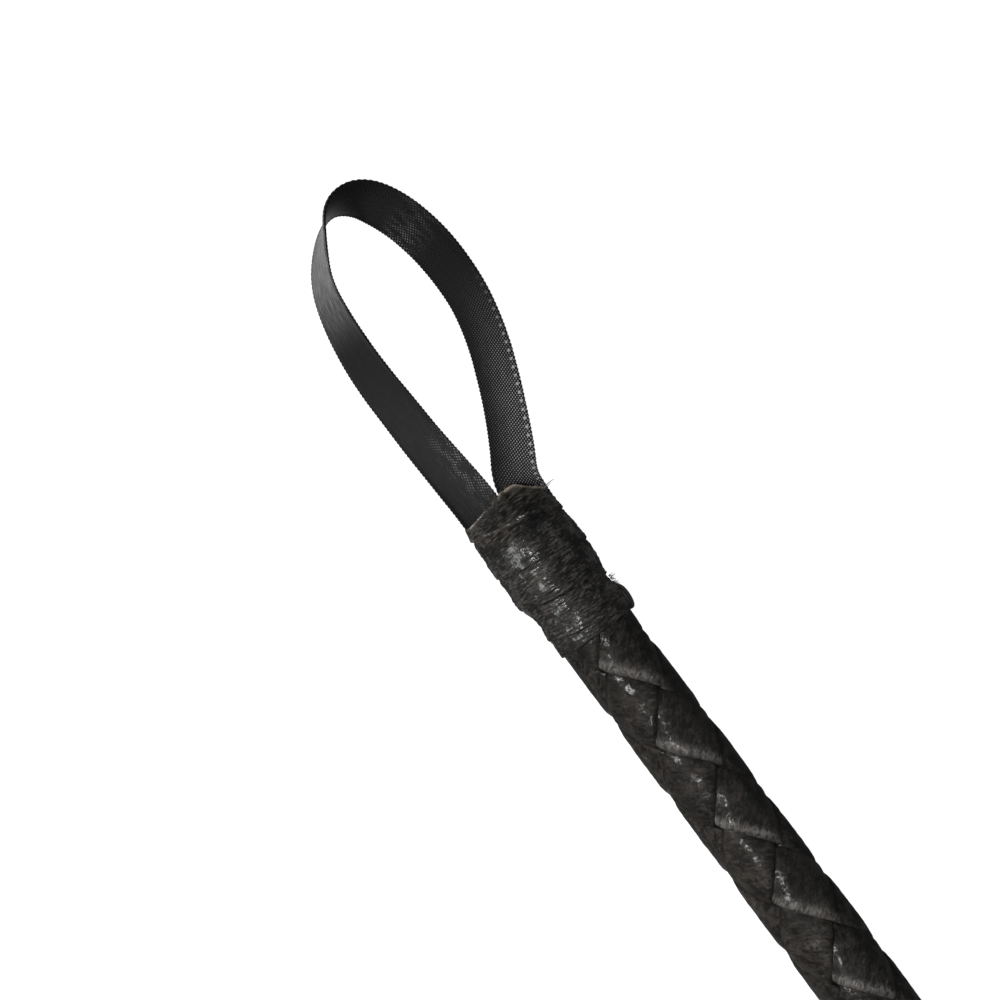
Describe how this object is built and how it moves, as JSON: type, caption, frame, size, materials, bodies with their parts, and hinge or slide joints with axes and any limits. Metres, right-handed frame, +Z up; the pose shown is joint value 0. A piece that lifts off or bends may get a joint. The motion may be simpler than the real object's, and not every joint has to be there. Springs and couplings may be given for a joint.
{
  "type": "riding crop",
  "caption": "Riding crop lying flat: braided faux-leather grip with a ribbon wrist loop, thread-covered tapered shaft and a two-leaf leather keeper.",
  "frame": {"origin": "on the shaft's axis at the middle of the braided grip, where the hand holds it", "axes": "+X along the shaft towards the keeper, +Z up with the crop lying on the ground, +Y across, on the side that the wrist loop bulges towards"},
  "size_m": [0.6085, 0.034, 0.0126],
  "materials": {
    "ribbon": "black satin-faced woven ribbon with a twill back",
    "thread": "waxed black whipping thread",
    "stitching": "black sewing thread",
    "tape": "crinkled faux-leather tape, glossy on its ridges",
    "braid": "black faux leather with a fine wrinkled grain",
    "foam": "closed-cell foam tube",
    "glass_fibre": "pale glass-fibre rod",
    "thread_cover": "braided nylon thread, slightly glossy",
    "cap": "moulded black plastic",
    "keeper_leather": "smooth black leather with a fine grain"
  },
  "bodies": {
    "crop": {"butt_binding": "tape", "grip_collar": "tape", "grip_front_whipping": "thread", "grip_padding": "foam", "grip_strand_left_1": "braid", "grip_strand_left_2": "braid", "grip_strand_left_3": "braid", "grip_strand_right_1": "braid", "grip_strand_right_2": "braid", "grip_strand_right_3": "braid", "keeper_neck_back": "keeper_leather", "keeper_neck_front": "keeper_leather", "keeper_whipping": "thread", "loop_tails": "ribbon", "loop_whipping": "thread", "rod": "glass_fibre", "shaft_cover": "thread_cover", "tip_binding": "tape", "tip_cap": "cap"},
    "loop": {"wrist_loop": "ribbon"},
    "keeper": {"keeper_back_leaf": "keeper_leather", "keeper_front_root": "keeper_leather", "keeper_stitching": "stitching"},
    "front_leaf": {"keeper_front_leaf": "keeper_leather"}
  },
  "joints": [
    {"name": "loop_swing", "type": "hinge", "parent": "crop", "child": "loop", "pos_m": [-0.096, 0, -0.0002], "axis": [0, 1, 0], "range_deg": [-80, 80], "stiffness_Nm_per_rad": 0.0007},
    {"name": "keeper_flex", "type": "hinge", "parent": "crop", "child": "keeper", "pos_m": [0.397, 0, 0], "axis": [0, -1, 0], "range_deg": [-60, 60], "stiffness_Nm_per_rad": 0.06},
    {"name": "leaf_open", "type": "hinge", "parent": "keeper", "child": "front_leaf", "pos_m": [0.413, 0, 0.00002], "axis": [0, -1, 0], "range_deg": [0, 40], "stiffness_Nm_per_rad": 0.02}
  ]
}
